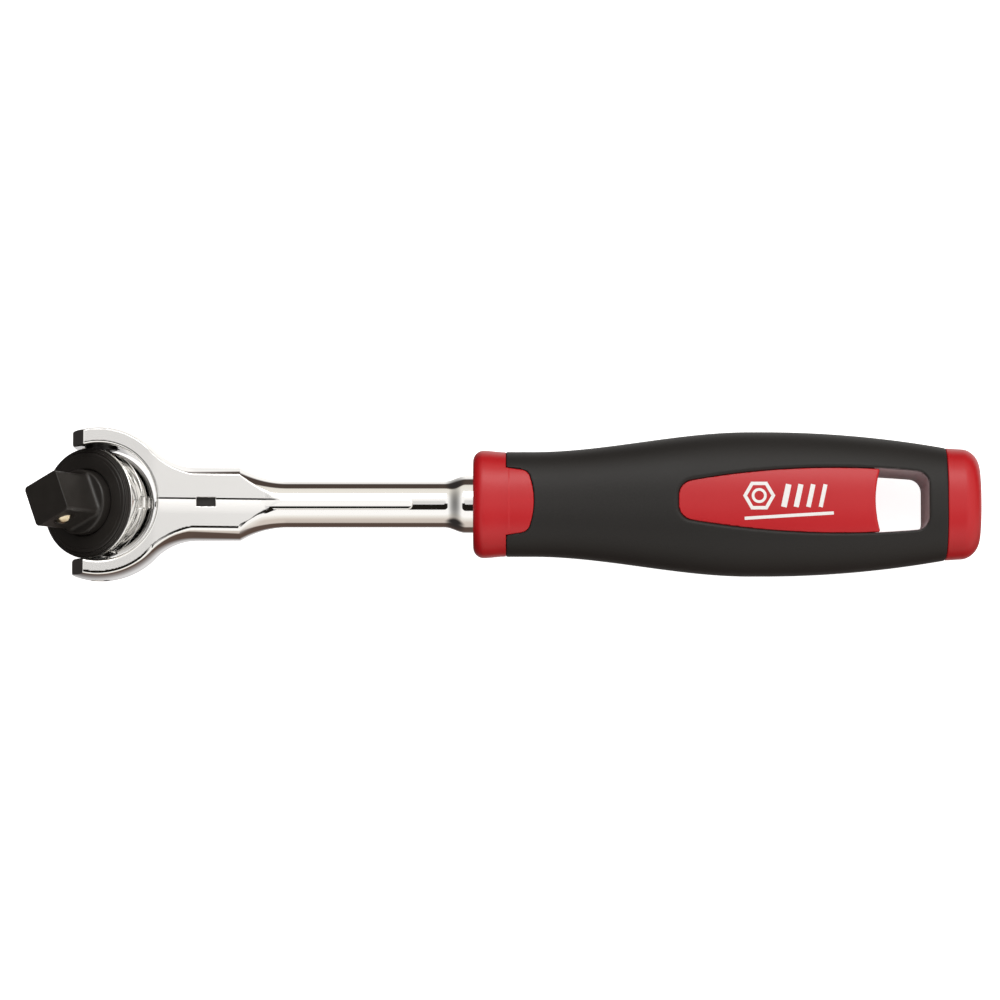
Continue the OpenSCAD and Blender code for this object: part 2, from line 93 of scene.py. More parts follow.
def net(field, axes, bend=0.03):
    """Points, quads and normals of the surface where field(x, y, z) is 0; it is below 0 inside."""
    ax, ay, az = axes
    v = field(ax[:, None, None], ay[None, :, None], az[None, None, :])
    v = np.ascontiguousarray(np.broadcast_to(v, (len(ax), len(ay), len(az)))).astype(np.float32)
    s = v < 0
    nx, ny, nz = v.shape
    count = np.zeros((nx - 1, ny - 1, nz - 1), np.int8)
    corners = [(i, j, k) for i in (0, 1) for j in (0, 1) for k in (0, 1)]
    for i, j, k in corners:
        count += s[i:nx - 1 + i, j:ny - 1 + j, k:nz - 1 + k]
    mixed = (count > 0) & (count < 8)
    cell = np.argwhere(mixed)
    index = np.full(count.shape, -1, np.int32)
    index[mixed] = np.arange(len(cell))
    total = np.zeros((len(cell), 3))
    hits = np.zeros(len(cell))
    for a in corners:
        for axis in range(3):
            if a[axis]:
                continue
            b = list(a)
            b[axis] = 1
            pa, pb = cell + np.array(a), cell + np.array(b)
            va, vb = v[tuple(pa.T)], v[tuple(pb.T)]
            m = (va < 0) != (vb < 0)
            t = (va[m] / (va[m] - vb[m]))[:, None]
            qa = np.stack([ax[pa[m, 0]], ay[pa[m, 1]], az[pa[m, 2]]], 1)
            qb = np.stack([ax[pb[m, 0]], ay[pb[m, 1]], az[pb[m, 2]]], 1)
            total[m] += qa + (qb - qa) * t
            hits[m] += 1
    p = total / hits[:, None]
    quads = []
    for axis in range(3):
        u, w = (axis + 1) % 3, (axis + 2) % 3
        first = [slice(None)] * 3
        second = [slice(None)] * 3
        first[axis] = slice(0, v.shape[axis] - 1)
        second[axis] = slice(1, v.shape[axis])
        for other in (u, w):
            first[other] = second[other] = slice(1, v.shape[other] - 1)
        a, b = s[tuple(first)], s[tuple(second)]
        edge = np.argwhere(a != b)
        outward = a[tuple(edge.T)]
        edge[:, u] += 1
        edge[:, w] += 1
        ring = []
        for du, dw in ((-1, -1), (0, -1), (0, 0), (-1, 0)):
            c = edge.copy()
            c[:, u] += du
            c[:, w] += dw
            ring.append(index[tuple(c.T)])
        q = np.stack(ring, 1)
        q[~outward] = q[~outward][:, ::-1]
        quads.append(q)
    quads = np.concatenate(quads)

    def slope(points, h):
        g = np.zeros_like(points)
        for k in range(3):
            step = np.zeros(3)
            step[k] = h
            hi, lo = points + step, points - step
            g[:, k] = (field(*hi.T) - field(*lo.T)) / (2 * h)
        return g

    reach = 0.7 * min(np.diff(ax).min(), np.diff(ay).min(), np.diff(az).min())
    for _ in range(3):
        g = slope(p, 0.01)
        d = field(*p.T)[:, None] * g / np.maximum((g * g).sum(1), 1e-9)[:, None]
        size = np.linalg.norm(d, axis=1, keepdims=True)
        p = p - d * np.minimum(1, reach / np.maximum(size, 1e-9))
    normals = slope(p, bend)
    normals /= np.maximum(np.linalg.norm(normals, axis=1, keepdims=True), 1e-9)
    return p, quads, normals


def make_object(name, points, faces, place, normals=None):
    """A smooth-shaded mesh object from points in millimetres and an array of quads."""
    m = np.array(place)
    p = points @ m[:3, :3].T + m[:3, 3]
    mesh = bpy.data.meshes.new(name)
    count, sides = faces.shape
    mesh.vertices.add(len(p))
    mesh.vertices.foreach_set("co", p.astype(np.float32).ravel())
    mesh.loops.add(count * sides)
    mesh.loops.foreach_set("vertex_index", faces.astype(np.int32).ravel())
    mesh.polygons.add(count)
    mesh.polygons.foreach_set("loop_start", np.arange(0, count * sides, sides, dtype=np.int32))
    mesh.polygons.foreach_set("use_smooth", np.ones(count, bool))
    mesh.update(calc_edges=True)
    mesh.validate()
    if normals is not None:
        n = normals @ (m[:3, :3] * 1000).T
        mesh.normals_split_custom_set_from_vertices(n)
    o = bpy.data.objects.new(name, mesh)
    bpy.context.scene.collection.objects.link(o)
    return o


def paint(o, name, values):
    """A value from 0 to 1 at each point, for a material to read."""
    layer = o.data.attributes.new(name, "FLOAT", "POINT")
    layer.data.foreach_set("value", np.asarray(values, np.float32))


def lathe(name, rows, place, sides):
    """A body of revolution about Z from (radius, z) rows that form a closed ring off the axis."""
    angle = np.arange(sides) * 2 * math.pi / sides
    ring = np.stack([np.cos(angle), np.sin(angle)], 1)
    points = np.concatenate([np.column_stack([ring * r, np.full(sides, z)]) for r, z in rows])
    faces = []
    k = np.arange(sides)
    for j in range(len(rows)):
        a, b = j * sides, ((j + 1) % len(rows)) * sides
        faces.append(np.stack([a + k, a + (k + 1) % sides, b + (k + 1) % sides, b + k], 1))
    return make_object(name, points, np.concatenate(faces), place)


def arc(cx, cz, r, start, end, count=8):
    """Points of an arc in the (radius, z) plane, angles in degrees."""
    return [(cx + r * math.cos(math.radians(start + (end - start) * i / count)),
             cz + r * math.sin(math.radians(start + (end - start) * i / count))) for i in range(count + 1)]


# ---------------------------------------------------------------- materials
class Nodes:
    """A short way to write a node material."""

    def __init__(self, name):
        self.mat = bpy.data.materials.new(name)
        self.mat.use_nodes = True
        self.tree = self.mat.node_tree
        self.tree.nodes.clear()
        self.out = self.tree.nodes.new("ShaderNodeOutputMaterial")
        self.bsdf = self.tree.nodes.new("ShaderNodeBsdfPrincipled")
        self.tree.links.new(self.bsdf.outputs[0], self.out.inputs[0])
        self.coord = self.tree.nodes.new("ShaderNodeTexCoord")

    def set(self, **values):
        for key, value in values.items():
            self.bsdf.inputs[key.replace("_", " ")].default_value = value

    def link(self, a, b):
        self.tree.links.new(a, b)

    def add(self, kind, **values):
        n = self.tree.nodes.new(kind)
        for key, value in values.items():
            setattr(n, key, value)
        return n

    def noise(self, scale, detail=4.0, rough=0.55, stretch=(1, 1, 1)):
        m = self.add("ShaderNodeMapping")
        m.inputs["Scale"].default_value = stretch
        self.link(self.coord.outputs["Object"], m.inputs["Vector"])
        n = self.add("ShaderNodeTexNoise")
        n.inputs["Scale"].default_value = scale
        n.inputs["Detail"].default_value = detail
        n.inputs["Roughness"].default_value = rough
        self.link(m.outputs[0], n.inputs["Vector"])
        return n.outputs["Fac"]

    def band(self, value, low, high):
        """Maps 0..1 to low..high."""
        n = self.add("ShaderNodeMapRange")
        n.inputs["To Min"].default_value = low
        n.inputs["To Max"].default_value = high
        self.link(value, n.inputs["Value"])
        return n.outputs[0]

    def math(self, operation, a, b):
        n = self.add("ShaderNodeMath", operation=operation)
        for socket, value in zip(n.inputs, (a, b)):
            if hasattr(value, "links"):
                self.link(value, socket)
            else:
                socket.default_value = value
        return n.outputs[0]

    def mix(self, fac, a, b):
        n = self.add("ShaderNodeMix", data_type="RGBA")
        n.inputs[6].default_value = (*a, 1)
        n.inputs[7].default_value = (*b, 1)
        self.link(fac, n.inputs[0])
        return n.outputs[2]

    def bump(self, height, strength, distance, onto=None):
        n = self.add("ShaderNodeBump")
        n.inputs["Strength"].default_value = strength
        n.inputs["Distance"].default_value = distance
        self.link(height, n.inputs["Height"])
        if onto is not None:
            self.link(onto, n.inputs["Normal"])
        return n.outputs[0]

    def attribute(self, name):
        return self.add("ShaderNodeAttribute", attribute_name=name).outputs["Fac"]


def chrome_material():
    n = Nodes("chrome_plate")
    n.set(Base_Color=(0.93, 0.925, 0.915, 1), Metallic=1.0)
    fine = n.noise(260, 3)
    satin = n.attribute("satin")
    polish = n.band(fine, 0.035, 0.07)
    milled = n.math("MULTIPLY", satin, 0.13)
    n.link(n.math("ADD", polish, milled), n.bsdf.inputs["Roughness"])
    ripple = n.bump(n.noise(90, 2), 0.02, 0.0002)
    n.link(ripple, n.bsdf.inputs["Normal"])
    return n.mat


def steel_material(name, colour, low, high):
    n = Nodes(name)
    n.set(Metallic=1.0)
    grain = n.noise(900, 3, 0.6, (1, 1, 0.12))
    n.link(n.mix(grain, tuple(0.85 * c for c in colour), colour), n.bsdf.inputs["Base Color"])
    n.link(n.band(grain, low, high), n.bsdf.inputs["Roughness"])
    n.link(n.bump(grain, 0.15, 0.00003), n.bsdf.inputs["Normal"])
    return n.mat


def oxide_material():
    n = Nodes("black_oxide_steel")
    n.set(Specular_IOR_Level=0.4)
    cloud = n.noise(320, 4)
    grit = n.noise(4200, 3, 0.65)
    n.link(n.mix(cloud, (0.016, 0.0138, 0.0122), (0.024, 0.0213, 0.0192)), n.bsdf.inputs["Base Color"])
    n.link(n.band(cloud, 0.3, 0.42), n.bsdf.inputs["Roughness"])
    n.link(n.bump(grit, 0.25, 0.00003), n.bsdf.inputs["Normal"])
    return n.mat


def red_material():
    n = Nodes("red_moulded_plastic")
    n.set(Specular_IOR_Level=0.45)
    cloud = n.noise(45, 3)
    grain = n.noise(2600, 3, 0.6)
    n.link(n.mix(cloud, (0.48, 0.0065, 0.011), (0.53, 0.0085, 0.014)), n.bsdf.inputs["Base Color"])
    n.link(n.band(cloud, 0.34, 0.42), n.bsdf.inputs["Roughness"])
    n.link(n.bump(grain, 0.2, 0.00003), n.bsdf.inputs["Normal"])
    return n.mat


def rubber_material():
    n = Nodes("moulded_rubber")
    n.set(Specular_IOR_Level=0.4)
    cloud = n.noise(38, 3)
    grain = n.noise(2100, 4, 0.65)
    colour = n.mix(cloud, (0.0085, 0.0072, 0.0064), (0.0135, 0.0118, 0.0108))
    # Painted sheen: where the mask painted on the grip is set, on the side walls of the hole, the base colour
    # turns a light pink-grey that stands in for the light on those walls
    painted_wall_light = n.add("ShaderNodeMix", data_type="RGBA")
    painted_wall_light.inputs[7].default_value = (0.45, 0.36, 0.38, 1)
    n.link(n.attribute("painted_sheen"), painted_wall_light.inputs[0])
    n.link(colour, painted_wall_light.inputs[6])
    n.link(painted_wall_light.outputs[2], n.bsdf.inputs["Base Color"])
    n.link(n.band(cloud, 0.5, 0.62), n.bsdf.inputs["Roughness"])
    n.link(n.bump(grain, 0.35, 0.00005), n.bsdf.inputs["Normal"])
    return n.mat


def seal_material():
    n = Nodes("seal_rubber")
    n.set(Specular_IOR_Level=0.4)
    grain = n.noise(1500, 3)
    n.link(n.mix(grain, (0.008, 0.008, 0.008), (0.014, 0.014, 0.014)), n.bsdf.inputs["Base Color"])
    n.link(n.band(grain, 0.4, 0.55), n.bsdf.inputs["Roughness"])
    n.link(n.bump(grain, 0.2, 0.00003), n.bsdf.inputs["Normal"])
    return n.mat


def print_material():
    n = Nodes("white_print")
    n.set(Specular_IOR_Level=0.4)
    grain = n.noise(1200, 3)
    n.link(n.mix(grain, (0.80, 0.79, 0.78), (0.88, 0.87, 0.86)), n.bsdf.inputs["Base Color"])
    n.link(n.band(grain, 0.4, 0.5), n.bsdf.inputs["Roughness"])
    n.link(n.bump(grain, 0.1, 0.00002), n.bsdf.inputs["Normal"])
    return n.mat


CHROME = chrome_material()
STEEL = steel_material("ground_steel", (0.56, 0.55, 0.53), 0.22, 0.36)
SPRING = steel_material("spring_wire", (0.5, 0.5, 0.5), 0.2, 0.32)
BRONZE = steel_material("bronze_ball", (0.86, 0.74, 0.52), 0.12, 0.2)
OXIDE = oxide_material()
RED = red_material()
RUBBER = rubber_material()
SEAL = seal_material()
PRINT = print_material()


def dress(o, material):
    o.data.materials.clear()
    o.data.materials.append(material)
    return o


def finish_piece(o, material, body, slot, *stands_for):
    dress(o, material)
    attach(o, body)
    if stands_for:
        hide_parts(*stands_for)
    return o


# ---------------------------------------------------------------- yoke, neck and shank
YOKE_R, THROAT_R, TIP_GAP, ARM_END = 17.0, 12.87, 12.45, 6.2
NECK_W, NECK_END, FILLET_R, TAPER_R = 8.05, 31.1, 13.0, 20.0
SHANK_R, FOOT_R, FLARE_X, FLARE_LONG = 5.15, 6.35, 76.4, 4.6
TAIL_R, TAIL_END = 4.6, 126.0
FLAT_TOP, NECK_TOP, FLATS_END, PAST_FLATS = 8.8, 5.25, 45.0, 9.0
PIN_R, PIN_HEAD_R, DETENT_R, DETENT_END = 2.0, 4.2, 1.35, 21.7
KEY_X, KEY_LONG, KEY_W = 23.75, 2.05, 1.0
FILLET_X = math.sqrt((YOKE_R + FILLET_R) ** 2 - (NECK_W + FILLET_R) ** 2)
TOUCH_X = FILLET_X * YOKE_R / (YOKE_R + FILLET_R)
TAPER_X = NECK_END + math.sqrt(TAPER_R ** 2 - (TAPER_R - NECK_W + SHANK_R) ** 2)
RIB_Y, RIB_W, RIB_END = -0.4, 1.1, 69.3


def outline(x):
    """Half width of the yoke, neck and shank seen from above."""
    disc = np.sqrt(np.maximum(YOKE_R ** 2 - x ** 2, 0))
    fillet = NECK_W + FILLET_R - np.sqrt(np.maximum(FILLET_R ** 2 - (x - FILLET_X) ** 2, 0))
    taper = SHANK_R + TAPER_R - np.sqrt(np.maximum(TAPER_R ** 2 - (TAPER_X - x) ** 2, 0))
    shank = SHANK_R + (FOOT_R - SHANK_R) * smooth((x - FLARE_X) / FLARE_LONG)
    return np.where(x < TOUCH_X, disc, np.where(x < FILLET_X, fillet, np.where(
        x < NECK_END, NECK_W, np.where(x < TAPER_X, taper, shank))))


def flat_height(x):
    """Half thickness at the flats: level on the yoke, then easing down the neck."""
    start = np.clip(x - 7, 0, 6)
    drop = start ** 2 / 12 + np.maximum(x - 13, 0)
    level = np.maximum(FLAT_TOP - drop * (FLAT_TOP - NECK_TOP) / 27, NECK_TOP)
    return np.where(x < FLATS_END, level, PAST_FLATS)


def yoke_field(x, y, z):
    ay, az = np.abs(y), np.abs(z)
    w = outline(x)
    h = flat_height(x)
    lean = (outline(x + 0.05) - outline(x - 0.05)) / 0.1
    # sides: an oval section that the flats are milled from
    part = smooth((x - 9) / 12)
    k = 2.334 + (1.3346 - 2.334) * part
    p = 2.5 - 0.5 * smooth((x - NECK_END) / (TAPER_X - NECK_END))
    size = YOKE_R + (NECK_W - YOKE_R) * part
    zc = k * h
    t = np.clip(az / zc, 0, 0.98)
    inset = size * (1 - (1 - t ** 2.5) ** 0.4)
    away = np.where(x < TOUCH_X, np.hypot(x, y) - YOKE_R, (ay - w) / np.sqrt(1 + lean ** 2))
    yoke_side = away + inset
    zs = np.where(x < NECK_END, zc, w)
    neck_side = (((ay / w) ** p + (az / zs) ** p) ** (1 / p) - 1) * w
    to_neck = smooth((x - 16) / (FILLET_X - 16))
    side = yoke_side * (1 - to_neck) + neck_side * to_neck
    inset = np.where(x < NECK_END, size * (1 - (1 - k ** -2.5) ** 0.4),
                     w * (1 - (1 - np.minimum(h / w, 1) ** p) ** (1 / p)))
    to_edge = -away - inset
    # flats: a fine step runs along the middle of the neck, and the half below it climbs back a little
    yy = y - RIB_Y
    below = RIB_W - yy
    u = np.clip(below, 0, 3.4) / 3.4
    climb = 0.2 * (u - u * u / 2) * 2 - 0.085 * smooth((below + 0.2) / 0.42)
    reach = 0.75 - 0.45 * smooth((x - 31) / 3) - 0.3 * smooth((x - 35) / 2)
    roll = 0.2 * np.clip(reach - to_edge, 0, reach) * smooth((-y - 1.3) / 0.6)
    top = (az - h - climb + roll) * 0.99
    bevel = (-(x + 3.4)) * math.cos(math.radians(28)) + (az - FLAT_TOP) * math.sin(math.radians(28))
    end = cut(cut(top, bevel, 0.25), -(x + ARM_END), 0.9)
    edge = 0.12 + 0.18 * smooth(-y / 2)
    body = cut(side, end, edge)
    # rib along the shank
    along = np.maximum(x - (RIB_END - RIB_W), 0)
    plan = np.hypot(along, yy) - RIB_W
    shelf = 0.2 * np.maximum(-0.45 - yy, 0) * smooth((x - 36.5) / 1.5)
    crown = (az - 5.27 + 0.115 * np.maximum(yy, -0.45) + shelf) * 0.99
    rib = cut(cut(plan, crown, 0.08 + 0.12 * smooth(-yy / 0.6)), 34 - x, 0.05)
    body = join(body, rib, 0.04)
    # throat, spot faces and bores
    r = np.hypot(x, y)
    throat = np.minimum(r - THROAT_R, np.maximum(ay - TIP_GAP, x))
    body = less(body, throat, 0.7)
    xz = np.hypot(x, z)
    body = less(body, np.maximum(np.maximum(xz - PIN_HEAD_R, 11.4 - ay), ay - 13), 0.1)
    body = less(body, np.maximum(xz - PIN_R, 11.4 - ay), 0.18)
    yz = np.hypot(y, z)
    body = less(body, np.maximum(np.maximum(yz - DETENT_R, 11.5 - x), x - DETENT_END), 0.12)
    window = np.maximum(np.abs(x - KEY_X) - KEY_LONG, ay - KEY_W)
    body = less(body, window, 0.1)
    # end inside the handle
    tail = np.maximum(yz - TAIL_R, x - TAIL_END)
    return np.where(x < 88, body, np.minimum(np.maximum(body, x - 90), tail))


def make_yoke():
    fine = 0.21
    ax = steps((-6.9, 36, fine), (36, 42, 0.4), (42, 66.6, 1.2), (66.6, 70.2, 0.15), (70.2, 75.6, 0.9),
               (75.6, 82.5, 0.4), (82.5, 91, 1.0), (91, 125, 4.0), (125, 127, 0.5))
    ay = both_ways((0, 1.8, 0.1), (1.8, 17.9, fine))
    az = both_ways((0, 4.2, 0.35), (4.2, 5.6, 0.1), (5.6, 9.6, 0.2))
    p, q, n = net(yoke_field, (ax, ay, az))
    o = make_object("chrome_yoke_and_shank", p, q, TO_FRAME, n)
    flat = (np.abs(n[:, 2]) > 0.985) & (np.abs(p[:, 2]) > 5.0) & (p[:, 0] < 40)
    rib = (np.abs(p[:, 1] - RIB_Y) < RIB_W) & (p[:, 0] > 36)
    paint(o, "satin", np.where(flat & ~rib, 1.0, 0.0))
    return finish_piece(o, CHROME, "frame", "chrome", "yoke_shank")


# ---------------------------------------------------------------- handle
COLLAR, SEAM, BELLY_X, CAP, HANDLE_END = 82.7, 90.0, 147.0, 187.4, 195.2
WINDOW_MID, WINDOW_H, WINDOW_CURVE, WINDOW_LO, WINDOW_HI = 163.0, 7.2, 185.0, 128.0, 183.0
HOLE_X, HOLE_CURVE, RECESS = 171.3, 23.0, 0.6
OVAL = 2.5
PEG_W, PEG_T = 7, 4


def size_at(x, front, belly, curve):
    """Half size of the grip: it swells from front to belly, then falls along a parabola."""
    rise = front + (belly - front) * smooth((x - 96) / 48)
    return np.where(x < BELLY_X, rise, belly - (x - BELLY_X) ** 2 / 2 / curve)


def oval(y, z, w, t):
    """Below 0 inside an oval section of half width w and half thickness t."""
    f = ((np.abs(y) / w) ** OVAL + (np.abs(z) / t) ** OVAL) ** (1 / OVAL)
    return (f - 1) * np.sqrt(w * t)


def grip_width(x):
    return size_at(x, 11.6, 16.0, 231)


def grip_thickness(x):
    return size_at(x, 10.5, 13.0, 340)


def grip_oval(x, y, z, inset=0.0):
    return oval(y, z, grip_width(x) - inset, grip_thickness(x) - inset)


def window_plan(x, y, grow=0.0):
    lens = np.hypot(x - WINDOW_MID, np.abs(y) + WINDOW_CURVE - WINDOW_H) - WINDOW_CURVE
    mid, half = (WINDOW_LO + WINDOW_HI) / 2, (WINDOW_HI - WINDOW_LO) / 2
    return cut(lens, np.abs(x - mid) - half, 2.6) - grow


def tongue_plan(x, y):
    side = (np.abs(y) - 7.5 + (x - SEAM) * 0.9 / 6.15) * 0.99
    end = np.hypot(x - 79.15, y) - 17
    return cut(side, end, 1.1)


def core_plan(x, y, z):
    bar = np.maximum(np.maximum(np.abs(y) - 8.6, np.abs(z) - 7.2), np.maximum(89 - x, x - 168.2))
    rails = np.maximum(np.maximum(np.abs(y) - 10.6, np.abs(z) - 5), 164.2 - x)
    hole = cut(window_plan(x, y, 1.0), np.hypot(x - HOLE_X - HOLE_CURVE, y) - HOLE_CURVE - 1, 0.5)
    return np.maximum(np.minimum(bar, rails), -hole)


def grip_field(x, y, z):
    body = grip_oval(x, y, z)
    body = cut(body, SEAM - x, 0.3)
    body = cut(body, x - CAP, 0.3)
    body = less(body, window_plan(x, y), 0.9)
    body = less(body, tongue_plan(x, y), 0.25)
    return np.maximum(body, -core_plan(x, y, z))


def hole_plan(x, y):
    return cut(window_plan(x, y), np.hypot(x - HOLE_X - HOLE_CURVE, y) - HOLE_CURVE, 0.3)


def core_field(x, y, z):
    ease = smooth((x - 85) / 5)
    collar = oval(y, z, 11.88 - 0.33 * ease, 10.78 - 0.33 * ease)
    collar = cut(collar, COLLAR - x, 2.3)
    collar = np.where(np.abs(y) < 7.4, np.maximum(collar, x - SEAM - 0.6), cut(collar, x - SEAM, 0.2))
    tongue = np.maximum(cut(grip_oval(x, y, z, 0.08), tongue_plan(x, y) + 0.04, 0.2), SEAM - 1 - x)
    panel = cut(grip_oval(x, y, z, RECESS), window_plan(x, y) + 0.03, 0.1)
    panel = less(panel, hole_plan(x, y), 0.5)
    inner = np.maximum(core_plan(x, y, z) + 0.02, x - CAP)
    body = np.minimum(np.minimum(np.minimum(collar, tongue), panel), inner)
    peg = np.maximum(np.maximum(np.abs(y) - PEG_W, np.abs(z) - PEG_T), np.maximum(x - 190.7, 186 - x))
    body = np.minimum(body, peg)
    r = np.hypot(y, z)
    bore = np.minimum(np.maximum(r - FOOT_R, x - SEAM), np.maximum(r - TAIL_R, x - TAIL_END))
    return less(body, bore, 0.3)


def cap_field(x, y, z):
    w, t = grip_width(CAP), grip_thickness(CAP)
    part = (x - CAP) / (HANDLE_END - CAP)
    inset = 0.05 + 0.45 * part
    side = oval(y, z, w - inset, t - inset * 0.85)
    dome = x - HANDLE_END + (y ** 2 / 2 / 150 + z ** 2 / 2 / 120)
    body = cut(side, dome, 3.6)
    body = cut(body, CAP - x, 0.3)
    peg = np.maximum(np.maximum(np.abs(y) - PEG_W, np.abs(z) - PEG_T), x - 190.8)
    return np.maximum(body, -peg)


def make_handle():
    gap = 0.42
    ax = steps((89.2, 98, 0.25), (98, 127, 1.1), (127, 133, 0.35), (133, 168, 0.8), (168, 188.4, 0.35))
    ay = both_ways((0, 16.6, gap))
    az = both_ways((0, 7, 0.7), (7, 13.6, gap))
    grip_net = net(grip_field, (ax, ay, az), 0.05)
    grip = make_object("rubber_grip", *order(grip_net))
    finish_piece(grip, RUBBER, "frame", "grip_rubber", "grip_overmold")
    # Painted sheen: a mask on the rubber's points, strongest on the side walls of the hole near the handle's
    # end, that gives them a lighter colour in place of the light they catch
    p, n = grip_net[0], grip_net[2]
    off_wall = window_plan(p[:, 0], p[:, 1])
    in_hole = (off_wall > -0.2) & (off_wall < 0.6) & (p[:, 0] > HOLE_X)
    paint(grip, "painted_sheen", np.where(in_hole, smooth((0.75 - np.abs(n[:, 2])) / 0.5), 0.0))
    ax = steps((82, 97, 0.25), (97, 127, 1.5), (127, 131, 0.35), (131, 169, 1.0), (169, 175, 0.3),
               (175, 191.3, 0.6))
    ay = both_ways((0, 12.6, 0.3))
    az = both_ways((0, 7, 0.6), (7, 13.2, 0.3))
    core = make_object("red_core", *order(net(core_field, (ax, ay, az), 0.05)))
    finish_piece(core, RED, "frame", "red_plastic", "handle_core")
    ax = steps((187.2, 196, 0.3))
    ay = both_ways((0, 13, 0.33))
    az = both_ways((0, 11, 0.33))
    cap = make_object("red_end_cap", *order(net(cap_field, (ax, ay, az), 0.05)))
    finish_piece(cap, RED, "frame", "red_plastic", "end_cap")


def order(result):
    """The result of net as make_object takes it."""
    p, q, n = result
    return p, q, TO_FRAME, n


# ---------------------------------------------------------------- head
HOUSING_R, BACK_R, BACK_Z, RIM_Z = 12.3, 11.9, -8.2, 4.6
DETENT = 11.25


def housing_field(x, y, z):
    r = np.hypot(x, y)
    ball = np.maximum(np.sqrt(r ** 2 + z ** 2) - BACK_R, z - 2.75)
    ball = cut(ball, BACK_Z - z, 0.5)
    core = np.maximum(r - 11.5, np.maximum(z - RIM_Z, -z))
    rim = cut(cut(r - HOUSING_R, z - RIM_Z, 0.25), 2.5 - z, 0.2)
    body = np.minimum(join(ball, core, 0.1), rim)
    body = np.maximum(body, 0.13 - np.hypot(r - 11.93, z - 0.35))
    ay = np.abs(y)
    xz = np.hypot(x, z)
    body = less(body, np.maximum(xz - PIN_HEAD_R, 11.92 - ay), 0.12)
    body = less(body, np.maximum(xz - PIN_R, 8.8 - ay), 0.1)
    for k in range(5):
        for angle in (k * DETENT, 180 - k * DETENT):
            a = math.radians(angle)
            cx, cz = 12.5 * math.cos(a), -12.5 * math.sin(a)
            body = less(body, np.maximum(np.hypot(x - cx, z - cz) - 1, ay - 1.2), 0.1)
    body = less(body, np.maximum(r - 11.7, 3 - z), 0.08)
    body = less(body, np.maximum(r - 8.4, -2.1 - z), 0.05)
    body = less(body, np.maximum(r - 3.0, z + 2), 0.15)
    return body


def head_objects():
    gap = 0.21
    ax = both_ways((0, 12.8, gap))
    az = steps((-8.7, -1.2, gap), (-1.2, 5.0, 0.15))
    p, q, n = net(housing_field, (ax, ax, az))
    housing = make_object("chrome_head_housing", p, q, TO_HEAD, n)
    paint(housing, "satin", np.zeros(len(p)))
    finish_piece(housing, CHROME, "head", "chrome", "head_housing")

    face = 5.9
    outer = [(11.55, 3.1), (11.6, 3.15), (11.6, 3.55), (11.2, 3.6)]
    rim = arc(10.85, face - 0.35, 0.35, 0, 90, 6)
    turned = [(10.35, face), (10.3, face - 0.05), (10.22, face - 0.05), (10.17, face)]
    bore = [(7.75, face), (7.6, face - 0.04), (7.45, face - 0.16), (7.3, face - 0.4)]
    ring = [(7.28, 3.1)] + outer + rim + turned + bore
    cover = lathe("black_cover_plate", ring, TO_HEAD, 360)
    finish_piece(cover, OXIDE, "head", "black_oxide", "cover_plate")
    shade(cover, 28)

    ring = [(11.25, 3.65), (11.68, 3.65), (11.68, 4.62), (12.13, 4.66)]
    ring += arc(11.98, 5.0, 0.15, 0, 90, 4) + [(11.86, 5.16), (11.84, 5.2)]
    ring += arc(11.72, 5.38, 0.12, 0, 90, 4) + [(11.58, 5.5), (11.55, 5.54)]
    ring += arc(11.42, 5.6, 0.1, 10, 90, 4) + [(11.3, 5.66), (11.25, 5.6)]
    lock = lathe("black_lock_ring", ring, TO_HEAD, 360)
    finish_piece(lock, OXIDE, "head", "black_oxide", "retaining_ring")
    shade(lock, 28)


def shade(o, degrees):
    """Smooth shading that keeps edges sharper than the angle."""
    mesh = o.data
    limit = math.radians(degrees)
    polys = np.zeros(len(mesh.polygons) * 3)
    mesh.polygons.foreach_get("normal", polys)
    polys = polys.reshape(-1, 3)
    loops_edge = np.zeros(len(mesh.loops), int)
    mesh.loops.foreach_get("edge_index", loops_edge)
    starts = np.zeros(len(mesh.polygons), int)
    totals = np.zeros(len(mesh.polygons), int)
    mesh.polygons.foreach_get("loop_start", starts)
    mesh.polygons.foreach_get("loop_total", totals)
    owner = np.repeat(np.arange(len(starts)), totals)
    first = np.full(len(mesh.edges), -1)
    second = np.full(len(mesh.edges), -1)
    for e, f in zip(loops_edge, owner):
        if first[e] < 0:
            first[e] = f
        else:
            second[e] = f
    both = (first >= 0) & (second >= 0)
    angle = np.zeros(len(mesh.edges))
    dots = (polys[first[both]] * polys[second[both]]).sum(1)
    angle[both] = np.arccos(np.clip(dots, -1, 1))
    sharp = mesh.attributes.get("sharp_edge") or mesh.attributes.new("sharp_edge", "BOOLEAN", "EDGE")
    sharp.data.foreach_set("value", angle > limit)
    mesh.update()


HALF_SQ, CORNER_R, SHOULDER, TIP, BOSS_R = 4.7625, 6.35, 8.3, 19.3, 7.2
BALL_Z = 15.2
GEAR_R, TEETH = 8.2, 72


